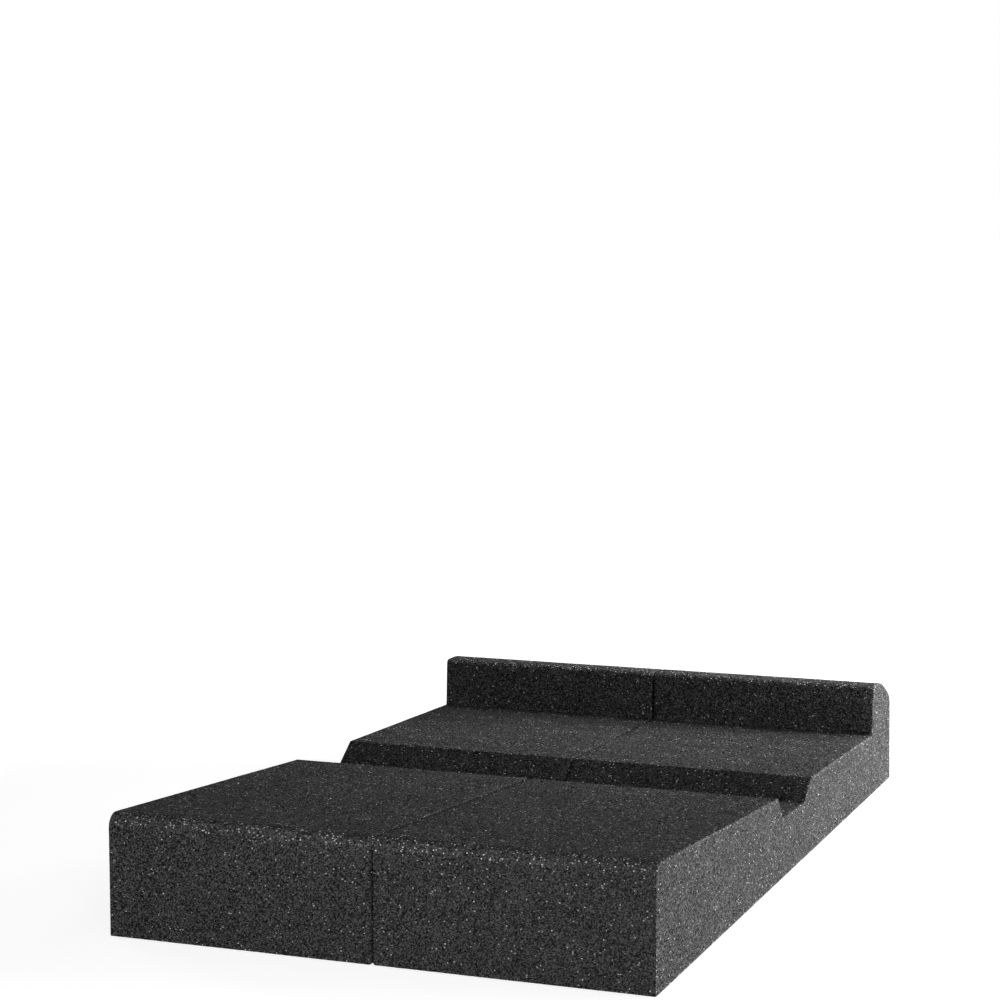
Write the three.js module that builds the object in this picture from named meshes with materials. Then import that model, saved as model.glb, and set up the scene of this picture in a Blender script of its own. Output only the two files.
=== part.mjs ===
// Speaker isolation pad: two identical blocks of open-cell foam that lie side by side.
// Millimetres. +Z is up, +Y runs from the high front to the lip at the back.
// The origin is on the surface that the pad lies on, under the middle of its outline.

import * as THREE from 'three';

const degrees = Math.PI / 180;

// Plan of the pad
const halfWidth = 100;
const depth = 350;
const seamGap = 0.3;

// Front face and front seat
const frontHeight = 44.2;
const frontSeatLength = 152.5;
const frontSeatTilt = 4.3 * degrees;

// Notch between the seats
const notchFrontWallDrop = 9.1;
const notchFrontWallLean = 7.5;
const notchFloorLength = 33;
const notchFloorTilt = 2.4 * degrees;
const notchRearWallRise = 8;
const notchRearWallLean = 11.6;

// Rear seat and lip
const rearSeatTilt = 1.9 * degrees;
const lipFootThickness = 37.5;
const lipRise = 20.8;
const lipFrontLean = 1;
const lipTopLength = 15;
const shoulderDrop = 8.9;
const rearFaceLean = 2.5;

// Radii of the rounded edges: the others are cut sharp
const frontEdgeRadius = 5;
const lipFrontEdgeRadius = 2;
const lipBackEdgeRadius = 34;
const shoulderRadius = 7;
const arcSegments = 10;

// An edge is rounded over at most this share of the shorter face beside it
const largestRoundedShare = 0.45;

// The corners of a half's side, each as [distance from the front face, height, edge radius].
function sideCorners() {
  const notchFront = frontSeatLength;
  const notchFrontTop = frontHeight - frontSeatLength * Math.tan(frontSeatTilt);
  const floorFront = notchFront + notchFrontWallLean;
  const floorFrontHeight = notchFrontTop - notchFrontWallDrop;
  const floorRear = floorFront + notchFloorLength;
  const floorRearHeight = floorFrontHeight - notchFloorLength * Math.tan(notchFloorTilt);
  const notchRear = floorRear + notchRearWallLean;
  const notchRearTop = floorRearHeight + notchRearWallRise;
  const lipFoot = depth - lipFootThickness;
  const lipFootHeight = notchRearTop - (lipFoot - notchRear) * Math.tan(rearSeatTilt);
  const lipFront = lipFoot + lipFrontLean;
  const lipTopHeight = lipFootHeight + lipRise;
  const lipBack = lipFront + lipTopLength;

  return [
    [0, 0, 0],
    [depth, 0, 0],
    [depth - rearFaceLean, lipTopHeight - shoulderDrop, shoulderRadius],
    [lipBack, lipTopHeight, lipBackEdgeRadius],
    [lipFront, lipTopHeight, lipFrontEdgeRadius],
    [lipFoot, lipFootHeight, 0],
    [notchRear, notchRearTop, 0],
    [floorRear, floorRearHeight, 0],
    [floorFront, floorFrontHeight, 0],
    [notchFront, notchFrontTop, 0],
    [0, frontHeight, frontEdgeRadius],
  ];
}

// The arc that rounds a corner given as [x, y, radius], between its neighbours before and after.
function cornerArc([x, y, radius], before, after) {
  const toBefore = new THREE.Vector2(before[0] - x, before[1] - y);
  const toAfter = new THREE.Vector2(after[0] - x, after[1] - y);
  const longestTangent = largestRoundedShare * Math.min(toBefore.length(), toAfter.length());
  toBefore.normalize();
  toAfter.normalize();

  const halfCorner = Math.acos(toBefore.dot(toAfter)) / 2;
  const tangent = Math.min(radius / Math.tan(halfCorner), longestTangent);
  const arcRadius = tangent * Math.tan(halfCorner);
  const bisector = toBefore.clone().add(toAfter).normalize();
  const corner = new THREE.Vector2(x, y);
  const centre = corner.clone().addScaledVector(bisector, arcRadius / Math.sin(halfCorner));
  const start = corner.clone().addScaledVector(toBefore, tangent);
  const end = corner.clone().addScaledVector(toAfter, tangent);
  return {
    centre,
    radius: arcRadius,
    startAngle: start.sub(centre).angle(),
    endAngle: end.sub(centre).angle(),
    clockwise: toBefore.cross(toAfter) > 0,
  };
}

// A closed outline that runs counter-clockwise and starts at a sharp corner.
function roundedOutline(corners) {
  const outline = new THREE.Shape();
  const [firstX, firstY] = corners[0];
  outline.moveTo(firstX, firstY);
  for (let index = 1; index < corners.length; index += 1) {
    const [x, y, radius] = corners[index];
    if (radius > 0) {
      const after = corners[(index + 1) % corners.length];
      const arc = cornerArc(corners[index], corners[index - 1], after);
      const { x: centreX, y: centreY } = arc.centre;
      outline.absarc(centreX, centreY, arc.radius, arc.startAngle, arc.endAngle, arc.clockwise);
    } else {
      outline.lineTo(x, y);
    }
  }
  outline.closePath();
  return outline;
}

// The block of one half: the side outline swept across its width, from x = 0 to x = halfWidth.
function halfGeometry() {
  const geometry = new THREE.ExtrudeGeometry(roundedOutline(sideCorners()), {
    depth: halfWidth,
    bevelEnabled: false,
    curveSegments: arcSegments,
  });
  const along = new THREE.Vector3(0, 1, 0);
  const up = new THREE.Vector3(0, 0, 1);
  const across = new THREE.Vector3(1, 0, 0);
  geometry.applyMatrix4(new THREE.Matrix4().makeBasis(along, up, across));
  return geometry;
}

const charcoalFoam = {
  color: 0x353536,
  roughness: 0.95,
  metalness: 0,
};

function half(name, leftSide) {
  const mesh = new THREE.Mesh(halfGeometry(), new THREE.MeshStandardMaterial(charcoalFoam));
  mesh.name = name;
  mesh.position.set(leftSide, -depth / 2, 0);
  return mesh;
}

const pad = new THREE.Group();
pad.name = 'speaker_isolation_pad';
pad.add(half('left_half', -seamGap / 2 - halfWidth));
pad.add(half('right_half', seamGap / 2));

export default pad;
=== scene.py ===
# Looks of the foam pad: two contour-cut halves of charcoal open-cell foam, side by side.
# Metres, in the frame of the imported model: +Y runs from the high front to the lip at the back.
import math

import bpy
import numpy as np
from mathutils import Matrix, Vector
from mathutils.geometry import delaunay_2d_cdt


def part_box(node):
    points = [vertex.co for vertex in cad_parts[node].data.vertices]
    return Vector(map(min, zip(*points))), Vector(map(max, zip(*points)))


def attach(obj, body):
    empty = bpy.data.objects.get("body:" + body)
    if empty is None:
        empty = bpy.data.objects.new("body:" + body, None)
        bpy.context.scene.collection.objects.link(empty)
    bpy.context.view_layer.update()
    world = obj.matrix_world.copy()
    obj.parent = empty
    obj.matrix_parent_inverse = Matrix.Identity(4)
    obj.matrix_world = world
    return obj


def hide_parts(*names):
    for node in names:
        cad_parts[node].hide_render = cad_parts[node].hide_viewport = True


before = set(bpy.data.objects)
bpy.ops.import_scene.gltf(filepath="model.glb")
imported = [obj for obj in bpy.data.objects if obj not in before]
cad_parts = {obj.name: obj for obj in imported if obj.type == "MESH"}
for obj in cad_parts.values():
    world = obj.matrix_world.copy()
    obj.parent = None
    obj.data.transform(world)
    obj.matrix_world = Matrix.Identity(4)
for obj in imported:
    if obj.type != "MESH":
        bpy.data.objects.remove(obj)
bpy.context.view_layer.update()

MM = 0.001

# Side outline of a half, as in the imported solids

DEPTH = 350 * MM
FRONT_HEIGHT = 44.2 * MM
FRONT_SEAT_LENGTH = 152.5 * MM
FRONT_SEAT_TILT = math.radians(4.3)
NOTCH_FRONT_WALL_DROP = 9.1 * MM
NOTCH_FRONT_WALL_LEAN = 7.5 * MM
NOTCH_FLOOR_LENGTH = 33 * MM
NOTCH_FLOOR_TILT = math.radians(2.4)
NOTCH_REAR_WALL_RISE = 8 * MM
NOTCH_REAR_WALL_LEAN = 11.6 * MM
REAR_SEAT_TILT = math.radians(1.9)
LIP_FOOT_THICKNESS = 37.5 * MM
LIP_RISE = 20.8 * MM
LIP_FRONT_LEAN = 1 * MM
LIP_TOP_LENGTH = 15 * MM
SHOULDER_DROP = 8.9 * MM
REAR_FACE_LEAN = 2.5 * MM

FRONT_EDGE_RADIUS = 5 * MM
LIP_FRONT_EDGE_RADIUS = 2 * MM
LIP_BACK_EDGE_RADIUS = 34 * MM
SHOULDER_RADIUS = 7 * MM
CUT_EDGE_RADIUS = 0.5 * MM
LARGEST_ROUNDED_SHARE = 0.45

# Mesh of a half

MESH_STEP = 0.9 * MM
HIDDEN_STEP = 6 * MM
SEAM_FACE_STEP = 3 * MM
ARC_STEPS = 3
CAP_EDGE_RADIUS = 0.4 * MM

# The seam is open at the surface. Inside, the halves meet, and bow a little, so it can't be seen through.
SEAM_EDGE_RADIUS = 0.9 * MM
SEAM_PULL = 0.14 * MM
SEAM_CLOSING_DEPTH = 2.5 * MM
SEAM_CLEARANCE = 0.015 * MM
SEAM_BOW_ALONG = 0.07 * MM
SEAM_BOW_LENGTH = 37 * MM
SEAM_BOW_UP = 0.05 * MM
SEAM_BOW_HEIGHT = 19 * MM
CAP_EDGE_STEPS = 3

# Open cells at the surface, as depths below the cut
CELL_RELIEF = 0.08 * MM
PIT_DEPTH = 0.28 * MM
PIT_SHARE = 0.02
WAVE_DEPTH = 0.12 * MM
WAVE_LENGTH = 45 * MM
WAVE_LENGTH_SPREAD = (0.5, 1.6)
WAVE_COUNT = 6

# How far mesh points stray from an even grid, as a share of its step
GRID_JITTER = 0.22
SAME_PLACE = 1e-7
INSIDE_ONLY = 1
NO_LENGTH = 1e-18


def side_corners():
    """Corners of the side as (distance from the front face, height, edge radius)."""
    notch_front = FRONT_SEAT_LENGTH
    notch_front_top = FRONT_HEIGHT - FRONT_SEAT_LENGTH * math.tan(FRONT_SEAT_TILT)
    floor_front = notch_front + NOTCH_FRONT_WALL_LEAN
    floor_front_height = notch_front_top - NOTCH_FRONT_WALL_DROP
    floor_rear = floor_front + NOTCH_FLOOR_LENGTH
    floor_rear_height = floor_front_height - NOTCH_FLOOR_LENGTH * math.tan(NOTCH_FLOOR_TILT)
    notch_rear = floor_rear + NOTCH_REAR_WALL_LEAN
    notch_rear_top = floor_rear_height + NOTCH_REAR_WALL_RISE
    lip_foot = DEPTH - LIP_FOOT_THICKNESS
    lip_foot_height = notch_rear_top - (lip_foot - notch_rear) * math.tan(REAR_SEAT_TILT)
    lip_front = lip_foot + LIP_FRONT_LEAN
    lip_top_height = lip_foot_height + LIP_RISE
    lip_back = lip_front + LIP_TOP_LENGTH
    return [
        (0, 0, CUT_EDGE_RADIUS),
        (DEPTH, 0, CUT_EDGE_RADIUS),
        (DEPTH - REAR_FACE_LEAN, lip_top_height - SHOULDER_DROP, SHOULDER_RADIUS),
        (lip_back, lip_top_height, LIP_BACK_EDGE_RADIUS),
        (lip_front, lip_top_height, LIP_FRONT_EDGE_RADIUS),
        (lip_foot, lip_foot_height, CUT_EDGE_RADIUS),
        (notch_rear, notch_rear_top, CUT_EDGE_RADIUS),
        (floor_rear, floor_rear_height, CUT_EDGE_RADIUS),
        (floor_front, floor_front_height, CUT_EDGE_RADIUS),
        (notch_front, notch_front_top, CUT_EDGE_RADIUS),
        (0, FRONT_HEIGHT, FRONT_EDGE_RADIUS),
    ]


# How worn and how highlighted the outline is in the middle of each corner's arc, in the order of the
# corners: rounded edges are painted lighter with more glints, partly as wear and partly as painted
# highlight where light catches them
CORNER_WEAR_AND_HIGHLIGHT = (0, 0, 0.2, 0.2, 0.7, 0, 0.7, 0, 0, 0.5, 1)
# The side cut edges are painted lighter with more glints, partly as wear and partly as painted highlight
CAP_EDGE_WEAR_AND_HIGHLIGHT = 0.6


def rounded_corner(corner, before, after):
    """Points along the arc that rounds a corner, with the outward normal at each."""
    place = Vector(corner[:2])
    to_before = Vector(before[:2]) - place
    to_after = Vector(after[:2]) - place
    longest_tangent = LARGEST_ROUNDED_SHARE * min(to_before.length, to_after.length)
    to_before.normalize()
    to_after.normalize()
    half_corner = to_before.angle(to_after) / 2
    tangent = min(corner[2] / math.tan(half_corner), longest_tangent)
    radius = tangent * math.tan(half_corner)
    centre = place + (to_before + to_after).normalized() * (radius / math.sin(half_corner))
    start = place + to_before * tangent - centre
    turn = start.angle_signed(place + to_after * tangent - centre)
    steps = max(ARC_STEPS, math.ceil(radius * abs(turn) / MESH_STEP))
    outward = 1 if to_after.cross(to_before) > 0 else -1
    points = []
    for step in range(steps + 1):
        angle = -turn * step / steps
        spoke = Matrix.Rotation(angle, 2) @ start
        points.append((centre + spoke, spoke.normalized() * outward))
    return points


def side_outline():
    """Closed outline of the side, its outward normals, what is bottom, and the wear and painted highlight
    of each point.
    """
    corners = side_corners()
    count = len(corners)
    arcs = []
    for index in range(count):
        arcs.append(rounded_corner(corners[index], corners[index - 1], corners[(index + 1) % count]))
    points = []
    normals = []
    bottom = []
    wear_and_highlight = []
    for index in range(count):
        last = len(arcs[index]) - 1
        for number, (point, normal) in enumerate(arcs[index]):
            points.append(point)
            normals.append(normal)
            bottom.append(False)
            wear_and_highlight.append(CORNER_WEAR_AND_HIGHLIGHT[index] * math.sin(math.pi * number / last))
        start = arcs[index][-1][0]
        end = arcs[(index + 1) % count][0][0]
        run = end - start
        step_length = HIDDEN_STEP if index == 0 else MESH_STEP
        steps = max(1, math.ceil(run.length / step_length))
        normal = Vector((run.y, -run.x)).normalized()
        for step in range(1, steps):
            points.append(start + run * (step / steps))
            normals.append(normal)
            bottom.append(index == 0)
            wear_and_highlight.append(0)
    return np.array(points), np.array(normals), np.array(bottom), np.array(wear_and_highlight, float)


def waves(places, seed):
    """Slow unevenness of the cut, from 0 to 1, at the given places."""
    rng = np.random.default_rng(seed)
    total = np.zeros(len(places))
    for _ in range(WAVE_COUNT):
        direction = rng.normal(size=3)
        direction /= np.linalg.norm(direction)
        length = WAVE_LENGTH * rng.uniform(*WAVE_LENGTH_SPREAD)
        phase = rng.uniform(0, 2 * math.pi)
        total += np.sin(places @ direction * 2 * math.pi / length + phase)
    return 0.5 + total / (2 * WAVE_COUNT)


def surface_depth(places, rng, seed):
    """How far each place lies below the cut: cells, deeper pits and slow waves."""
    depth = CELL_RELIEF * rng.random(len(places))
    depth += PIT_DEPTH * (rng.random(len(places)) < PIT_SHARE)
    return depth + WAVE_DEPTH * waves(places, seed)


def edge_distance(places, outline):
    """How far each place is from the nearest side of a closed outline."""
    distance = np.full(len(places), np.inf)
    previous = outline[-1]
    for corner in outline:
        run = previous - corner
        along = np.clip(((places - corner) @ run) / max(run @ run, NO_LENGTH), 0, 1)
        away = np.linalg.norm(places - corner - along[:, None] * run, axis=1)
        distance = np.minimum(distance, away)
        previous = corner
    return distance


def cap_points(outline, step, rng):
    """Jittered points inside an outline, a step apart."""
    low = outline.min(axis=0)
    high = outline.max(axis=0)
    columns = np.arange(low[0] + step, high[0], step)
    rows = np.arange(low[1] + step, high[1], step)
    grid = np.stack(np.meshgrid(columns, rows), axis=-1).reshape(-1, 2)
    grid += rng.uniform(-GRID_JITTER, GRID_JITTER, grid.shape) * step
    inside = np.zeros(len(grid), bool)
    previous = outline[-1]
    for corner in outline:
        crosses = (corner[1] > grid[:, 1]) != (previous[1] > grid[:, 1])
        if corner[1] != previous[1]:
            share = (grid[:, 1] - corner[1]) / (previous[1] - corner[1])
            inside ^= crosses & (grid[:, 0] < corner[0] + share * (previous[0] - corner[0]))
        previous = corner
    return grid[inside & (edge_distance(grid, outline) > step / 2)]


def seam_bow(along, up):
    """How far the seam stands to the right of the middle at a place on it."""
    bow = SEAM_BOW_ALONG * np.sin(along * 2 * math.pi / SEAM_BOW_LENGTH)
    return bow + SEAM_BOW_UP * np.sin(up * 2 * math.pi / SEAM_BOW_HEIGHT)


def foam_half(name, low_x, high_x, seam_at_high, seed, material):
    """One half: the side outline swept across its width, with rounded cut edges and open cells."""
    rng = np.random.default_rng(seed)
    outline, normals, bottom, wear_and_highlight = side_outline()
    outline = outline - np.array([DEPTH / 2, 0])
    count = len(outline)

    if seam_at_high:
        high_x -= SEAM_PULL
        low_radius, high_radius = CAP_EDGE_RADIUS, SEAM_EDGE_RADIUS
    else:
        low_x += SEAM_PULL
        low_radius, high_radius = SEAM_EDGE_RADIUS, CAP_EDGE_RADIUS
    angles = [math.pi / 2 * step / CAP_EDGE_STEPS for step in range(CAP_EDGE_STEPS)]
    first = low_x + low_radius
    last = high_x - high_radius
    middle = np.linspace(first, last, math.ceil((last - first) / MESH_STEP) + 1)
    places_x = [first - low_radius * math.cos(angle) for angle in angles]
    places_x += list(middle)
    places_x += [last + high_radius * math.cos(angle) for angle in reversed(angles)]
    row_insets = [low_radius * (1 - math.sin(angle)) for angle in angles]
    row_insets += [0.0] * len(middle)
    row_insets += [high_radius * (1 - math.sin(angle)) for angle in reversed(angles)]
    rows = len(places_x)

    grid = np.zeros((rows, count, 3))
    grid[:, :, 0] = np.array(places_x)[:, None]
    inset = np.array(row_insets)[:, None, None]
    grid[:, :, 1:] = outline[None] - inset * normals[None]
    inner = slice(CAP_EDGE_STEPS + 1, rows - CAP_EDGE_STEPS - 1)
    jitter = rng.uniform(-GRID_JITTER, GRID_JITTER, (rows, count)) * MESH_STEP
    grid[inner, :, 0] += jitter[inner]
    flat = grid.reshape(-1, 3)
    depth = surface_depth(flat, rng, seed).reshape(rows, count)
    depth[:, bottom] = 0
    grid[:, :, 1:] -= depth[:, :, None] * normals[None]
    grid[:, :, 2] = np.maximum(grid[:, :, 2], 0)

    points = [tuple(place) for place in grid.reshape(-1, 3)]
    # Wear and painted highlight of each point: lighter cells and more glints on rounded and cut edges
    worn_and_highlighted = np.tile(wear_and_highlight, (rows, 1))
    edge_rows = slice(0, CAP_EDGE_STEPS) if seam_at_high else slice(rows - CAP_EDGE_STEPS, rows)
    worn_and_highlighted[edge_rows] = np.maximum(worn_and_highlighted[edge_rows], CAP_EDGE_WEAR_AND_HIGHLIGHT)
    worn_and_highlighted = list(worn_and_highlighted.reshape(-1))
    faces = []
    for row in range(rows - 1):
        for index in range(count):
            after = (index + 1) % count
            here = row * count
            faces.append((here + index, here + after, here + count + after, here + count + index))

    for at_high in (False, True):
        row = rows - 1 if at_high else 0
        loop = grid[row, :, 1:]
        seam = at_high == seam_at_high
        step = SEAM_FACE_STEP if seam else MESH_STEP
        inside = cap_points(loop, step, rng)
        flat_points = [Vector(place) for place in loop] + [Vector(place) for place in inside]
        result = delaunay_2d_cdt(flat_points, [], [tuple(range(count))], INSIDE_ONLY, SAME_PLACE)
        placed, _, triangles, origins = result[:4]
        numbers = []
        new_places = []
        for place, origin in zip(placed, origins):
            on_loop = [number for number in origin if number < count]
            if on_loop:
                numbers.append(row * count + on_loop[0])
            else:
                numbers.append(len(points) + len(new_places))
                new_places.append((places_x[row], place.x, place.y))
        new_places = np.array(new_places)
        if seam:
            closed = np.clip(edge_distance(new_places[:, 1:], loop) / SEAM_CLOSING_DEPTH, 0, 1)
            contact = seam_bow(new_places[:, 1], new_places[:, 2])
            contact += -SEAM_CLEARANCE if at_high else SEAM_CLEARANCE
            new_places[:, 0] += closed * (contact - places_x[row])
        else:
            sink = surface_depth(new_places, rng, seed + 1)
            new_places[:, 0] += sink * (-1 if at_high else 1)
        points += [tuple(place) for place in new_places]
        worn_and_highlighted += [0.0] * len(new_places)
        for triangle in triangles:
            ring = [numbers[number] for number in triangle]
            faces.append(tuple(ring) if at_high else tuple(reversed(ring)))

    mesh = bpy.data.meshes.new(name)
    mesh.from_pydata(points, [], faces)
    mesh.attributes.new("wear_and_highlight", "FLOAT", "POINT").data.foreach_set("value", worn_and_highlighted)
    mesh.update()
    mesh.polygons.foreach_set("use_smooth", [True] * len(mesh.polygons))
    mesh.materials.append(material)
    piece = bpy.data.objects.new(name, mesh)
    bpy.context.scene.collection.objects.link(piece)
    return piece


# Materials

def add_node(tree, kind, settings=None, **inputs):
    """A node with its settings and input values, where a socket as a value is a link."""
    node = tree.nodes.new(kind)
    for name, value in (settings or {}).items():
        setattr(node, name, value)
    for name, value in inputs.items():
        socket = node.inputs[int(name[1:])] if name[0] == "_" else node.inputs[name.replace("_", " ")]
        if isinstance(value, bpy.types.NodeSocket):
            tree.links.new(value, socket)
        else:
            socket.default_value = value
    return node


CELL_SIZE = 0.38 * MM
GLINT_CELL_SIZE = 0.64 * MM
FINE_SIZE = 0.3 * MM
PATCH_SIZE = 16 * MM
BUMP_DEPTH = 0.05 * MM
FACET_TILT = 2.1
GLINT_TILT = 2.8
PLAIN_RARITY = 1.8
# Where edges carry wear and painted highlight, there are lighter cells and more glints
WORN_AND_HIGHLIGHTED_RARITY = 0.8
WORN_AND_HIGHLIGHTED_GLINTS = 0.2

# Dark cells: the foam's own random tone, with painted shade in the open pores
PORE_AND_SHADE_COLOUR = (0.015, 0.015, 0.0152, 1)
STRUT_COLOUR = (0.115, 0.115, 0.1165, 1)
# Painted highlight: glinting cell skins get a light base colour that stands in for light reflected off them
PAINTED_GLINT_COLOUR = (0.65, 0.65, 0.65, 1)

# A cell glints fully above the second of these draws, and not at all below the first
GLINT_DRAW = (0.96, 0.98)

# A glint fades out between these shares of its cell's size from the cell's middle
GLINT_RIM = (0.45, 0.35)

PATCH_NOISE = (0.3, 0.7)
PATCH_TONE = (0.92, 1.08)
FOAM_ROUGHNESS = 0.85
FOAM_GLOSS = 0.0


def foam_material():
    """Charcoal open-cell foam: cells cut open at random tilts, darker and lighter, and a few painted
    glints, highlights put into the base colour.
    """
    material = bpy.data.materials.new("charcoal_foam")
    material.use_nodes = True
    tree = material.node_tree
    tree.nodes.clear()
    place = add_node(tree, "ShaderNodeTexCoord").outputs["Object"]
    level = add_node(tree, "ShaderNodeNewGeometry").outputs["Normal"]

    cells = add_node(tree, "ShaderNodeTexVoronoi", {"feature": "F1"}, Vector=place, Scale=1 / CELL_SIZE)
    split = add_node(tree, "ShaderNodeSeparateColor", Color=cells.outputs["Color"])
    fine = add_node(
        tree, "ShaderNodeTexNoise", Vector=place, Scale=1 / FINE_SIZE, Detail=1.0, Roughness=0.6
    )
    patches = add_node(
        tree, "ShaderNodeTexNoise", Vector=place, Scale=1 / PATCH_SIZE, Detail=2.0, Roughness=0.5
    )

    # Glints: painted highlights, a light base colour on the flat skins of a few cells, more of them where
    # the foam is worn and along edges painted as highlights
    wear_and_highlight = add_node(tree, "ShaderNodeAttribute", {"attribute_name": "wear_and_highlight"}).outputs["Fac"]
    skins = add_node(
        tree, "ShaderNodeTexVoronoi", {"feature": "F1"}, Vector=place, Scale=1 / GLINT_CELL_SIZE
    )
    skin_split = add_node(tree, "ShaderNodeSeparateColor", Color=skins.outputs["Color"])
    luck = add_node(
        tree, "ShaderNodeMath", {"operation": "MULTIPLY_ADD"},
        _0=wear_and_highlight, _1=WORN_AND_HIGHLIGHTED_GLINTS, _2=skin_split.outputs[2]
    )
    chosen = add_node(
        tree, "ShaderNodeMapRange",
        _0=luck.outputs[0], _1=GLINT_DRAW[0], _2=GLINT_DRAW[1], _3=0.0, _4=1.0
    )
    near_middle = add_node(
        tree, "ShaderNodeMapRange",
        _0=skins.outputs["Distance"], _1=GLINT_RIM[0], _2=GLINT_RIM[1], _3=0.0, _4=1.0
    )
    glint = add_node(
        tree, "ShaderNodeMath", {"operation": "MULTIPLY"}, _0=chosen.outputs[0], _1=near_middle.outputs[0]
    )
    # Each cell's cut wall has a tilt of its own, and a glint's is steeper
    centred = add_node(
        tree, "ShaderNodeVectorMath", {"operation": "SUBTRACT"},
        _0=cells.outputs["Color"], _1=(0.5, 0.5, 0.5)
    )
    skin_centred = add_node(
        tree, "ShaderNodeVectorMath", {"operation": "SUBTRACT"},
        _0=skins.outputs["Color"], _1=(0.5, 0.5, 0.5)
    )
    tilt = add_node(
        tree, "ShaderNodeVectorMath", {"operation": "SCALE"}, _0=centred.outputs[0], _3=FACET_TILT
    )
    skin_tilt = add_node(
        tree, "ShaderNodeVectorMath", {"operation": "SCALE"}, _0=skin_centred.outputs[0], _3=GLINT_TILT
    )
    either_tilt = add_node(
        tree, "ShaderNodeMix", {"data_type": "VECTOR"},
        _0=glint.outputs[0], _4=tilt.outputs[0], _5=skin_tilt.outputs[0]
    )
    tilted = add_node(
        tree, "ShaderNodeVectorMath", {"operation": "ADD"}, _0=level, _1=either_tilt.outputs[1]
    )
    facet = add_node(tree, "ShaderNodeVectorMath", {"operation": "NORMALIZE"}, _0=tilted.outputs[0])
    bump = add_node(
        tree, "ShaderNodeBump",
        Height=fine.outputs[0], Strength=1.0, Distance=BUMP_DEPTH, Normal=facet.outputs[0]
    )

    # Most cells are dark and a few are much lighter, at random; the dark is partly painted shade in the
    # open pores, and edges with wear and painted highlight get more light cells
    rarity = add_node(tree, "ShaderNodeMapRange", _0=wear_and_highlight, _1=0.0, _2=1.0, _3=PLAIN_RARITY, _4=WORN_AND_HIGHLIGHTED_RARITY)
    uneven = add_node(
        tree, "ShaderNodeMath", {"operation": "POWER"}, _0=split.outputs[0], _1=rarity.outputs[0]
    )
    colour = add_node(
        tree, "ShaderNodeMix", {"data_type": "RGBA"},
        _0=uneven.outputs[0], _6=PORE_AND_SHADE_COLOUR, _7=STRUT_COLOUR
    )

    with_glints = add_node(
        tree, "ShaderNodeMix", {"data_type": "RGBA"},
        _0=glint.outputs[0], _6=colour.outputs[2], _7=PAINTED_GLINT_COLOUR
    )
    tone = add_node(
        tree, "ShaderNodeMapRange",
        _0=patches.outputs[0], _1=PATCH_NOISE[0], _2=PATCH_NOISE[1], _3=PATCH_TONE[0], _4=PATCH_TONE[1]
    )
    toned = add_node(
        tree, "ShaderNodeMix", {"data_type": "RGBA", "blend_type": "MULTIPLY"},
        _0=1.0, _6=with_glints.outputs[2], _7=tone.outputs[0]
    )
    surface = add_node(
        tree, "ShaderNodeBsdfPrincipled",
        Base_Color=toned.outputs[2], Roughness=FOAM_ROUGHNESS, Normal=bump.outputs[0]
    )
    surface.inputs["Specular IOR Level"].default_value = FOAM_GLOSS
    output = add_node(tree, "ShaderNodeOutputMaterial")
    tree.links.new(surface.outputs[0], output.inputs["Surface"])
    return material


# Halves

foam = foam_material()
for node, seam_at_high, seed in (("left_half", True, 11), ("right_half", False, 23)):
    low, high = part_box(node)
    piece = foam_half("foam_" + node, low[0], high[0], seam_at_high, seed, foam)
    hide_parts(node)
    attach(piece, "root")

# Floor and surroundings: they look white, and the floor keeps the pad's shadow

FLOOR_SIZE = 60.0
FLOOR_DROP = 0.0002
FLOOR_COLOUR = (0.8, 0.8, 0.8, 1)
SEEN_FLOOR_COLOUR = (0.42, 0.42, 0.42, 1)
NEAR_FLOOR_GLOW = 0.79
NEAR_FLOOR = 0.26
FAR_FLOOR = 0.6
AMBIENT = 0.08
WHITE = (1, 1, 1, 1)


# Name, place, the point that it faces, width in metres, and power in watts
LAMPS = (
    ("key_right", (1.0, 0.4, 0.09), (0.0, 0.05, 0.02), 0.14, 23.5),
    ("side_right", (0.9, 0.05, 0.09), (0.0, 0.0, 0.02), 0.14, 4.6),
    ("near_lip", (0.22, 0.36, 0.16), (0.1, 0.15, 0.02), 0.15, 1.4),
    ("over_lip", (0.05, 0.22, 0.22), (0.05, 0.15, 0.04), 0.15, 0.5),
    ("near_front", (0.05, -0.5, 0.1), (0.02, -0.17, 0.02), 0.35, 1.45),
    ("fill_left", (-1.0, 0.35, 0.1), (0.0, 0.0, 0.02), 0.25, 7.0),
)


def seen_directly(tree):
    """1 for what the camera sees directly or in a gloss or through glass, else 0."""
    path = add_node(tree, "ShaderNodeLightPath")
    glossy = add_node(
        tree, "ShaderNodeMath", {"operation": "MAXIMUM"},
        _0=path.outputs["Is Camera Ray"], _1=path.outputs["Is Glossy Ray"]
    )
    either = add_node(
        tree, "ShaderNodeMath", {"operation": "MAXIMUM"},
        _0=glossy.outputs[0], _1=path.outputs["Is Transmission Ray"]
    )
    return either.outputs[0]


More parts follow.
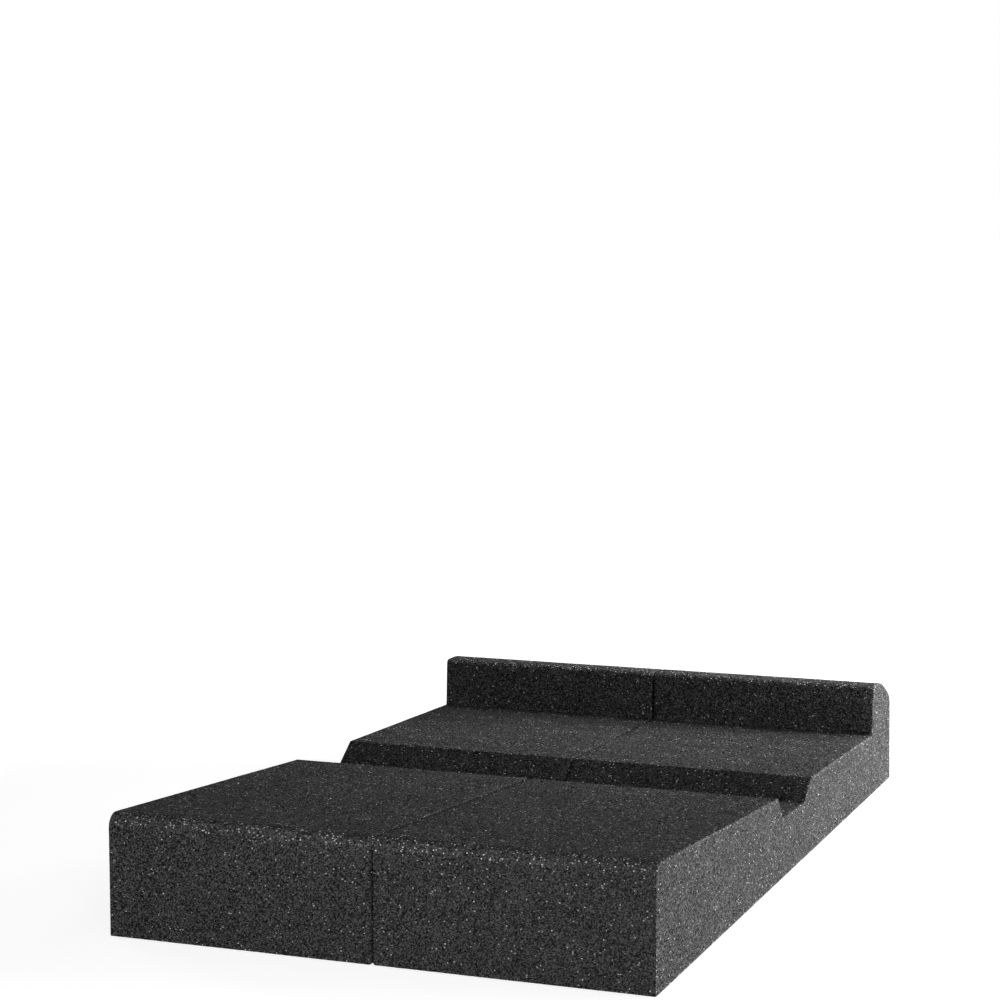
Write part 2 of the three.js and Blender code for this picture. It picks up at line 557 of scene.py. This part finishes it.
def add_floor():
    """A plain floor that looks white, with the pad's shadow near it."""
    half = FLOOR_SIZE / 2
    corners = [(-half, -half), (half, -half), (half, half), (-half, half)]
    mesh = bpy.data.meshes.new("floor")
    mesh.from_pydata([(x, y, -FLOOR_DROP) for x, y in corners], [], [(0, 1, 2, 3)])
    material = bpy.data.materials.new("floor")
    material.use_nodes = True
    tree = material.node_tree
    tree.nodes.clear()
    plain = add_node(tree, "ShaderNodeBsdfDiffuse", Color=FLOOR_COLOUR)
    seen = add_node(tree, "ShaderNodeBsdfDiffuse", Color=SEEN_FLOOR_COLOUR)
    place = add_node(tree, "ShaderNodeTexCoord").outputs["Object"]
    distance = add_node(tree, "ShaderNodeVectorMath", {"operation": "LENGTH"}, _0=place)
    brightness = add_node(
        tree, "ShaderNodeMapRange",
        _0=distance.outputs["Value"], _1=NEAR_FLOOR, _2=FAR_FLOOR, _3=NEAR_FLOOR_GLOW, _4=1.0
    )
    glow = add_node(tree, "ShaderNodeEmission", Color=WHITE, Strength=brightness.outputs[0])
    white = add_node(tree, "ShaderNodeAddShader", _0=seen.outputs[0], _1=glow.outputs[0])
    either = add_node(
        tree, "ShaderNodeMixShader", _0=seen_directly(tree), _1=plain.outputs[0], _2=white.outputs[0]
    )
    output = add_node(tree, "ShaderNodeOutputMaterial")
    tree.links.new(either.outputs[0], output.inputs["Surface"])
    mesh.materials.append(material)
    floor = bpy.data.objects.new("floor", mesh)
    bpy.context.scene.collection.objects.link(floor)


def add_world():
    """A weak even light that looks white where it is seen."""
    world = bpy.data.worlds.new("studio")
    world.use_nodes = True
    tree = world.node_tree
    tree.nodes.clear()
    strength = add_node(
        tree, "ShaderNodeMapRange", _0=seen_directly(tree), _1=0.0, _2=1.0, _3=AMBIENT, _4=1.0
    )
    background = add_node(tree, "ShaderNodeBackground", Color=WHITE, Strength=strength.outputs[0])
    output = add_node(tree, "ShaderNodeOutputWorld")
    tree.links.new(background.outputs[0], output.inputs["Surface"])
    bpy.context.scene.world = world


def add_soft_box(name, place, aim, size, power):
    """A square soft lamp that faces a point."""
    lamp = bpy.data.lights.new(name, "AREA")
    lamp.shape = "SQUARE"
    lamp.size = size
    lamp.energy = power
    holder = bpy.data.objects.new(name, lamp)
    holder.location = place
    holder.rotation_mode = "QUATERNION"
    holder.rotation_quaternion = (Vector(aim) - Vector(place)).to_track_quat("-Z", "Y")
    holder.visible_camera = False
    bpy.context.scene.collection.objects.link(holder)


add_floor()
add_world()
for lamp_name, lamp_place, lamp_aim, lamp_size, lamp_power in LAMPS:
    add_soft_box(lamp_name, lamp_place, lamp_aim, lamp_size, lamp_power)

# Camera

LENS = 91.763
SENSOR = 36.0
CAMERA_PLACE = (0.3394, -0.9401, 0.2494)
CAMERA_YAW = math.radians(-20.957)
CAMERA_PITCH = math.radians(6.261)
CAMERA_ROLL = math.radians(0.043)
CLIP_START = 0.01
CLIP_END = 200.0


def add_camera():
    """The camera of the view from the front right, held by its yaw, pitch and roll."""
    camera = bpy.data.cameras.new("camera")
    camera.lens = LENS
    camera.sensor_width = SENSOR
    camera.clip_start = CLIP_START
    camera.clip_end = CLIP_END
    holder = bpy.data.objects.new("camera", camera)
    forward = Vector((
        math.sin(CAMERA_YAW) * math.cos(CAMERA_PITCH),
        math.cos(CAMERA_YAW) * math.cos(CAMERA_PITCH),
        -math.sin(CAMERA_PITCH),
    ))
    level_right = Vector((math.cos(CAMERA_YAW), -math.sin(CAMERA_YAW), 0))
    down = forward.cross(level_right)
    right = level_right * math.cos(CAMERA_ROLL) + down * math.sin(CAMERA_ROLL)
    up = level_right * math.sin(CAMERA_ROLL) - down * math.cos(CAMERA_ROLL)
    turn = Matrix((right, up, -forward)).transposed()
    holder.matrix_world = Matrix.Translation(CAMERA_PLACE) @ turn.to_4x4()
    bpy.context.scene.collection.objects.link(holder)
    bpy.context.scene.camera = holder


add_camera()
bpy.context.scene.view_settings.view_transform = "Standard"
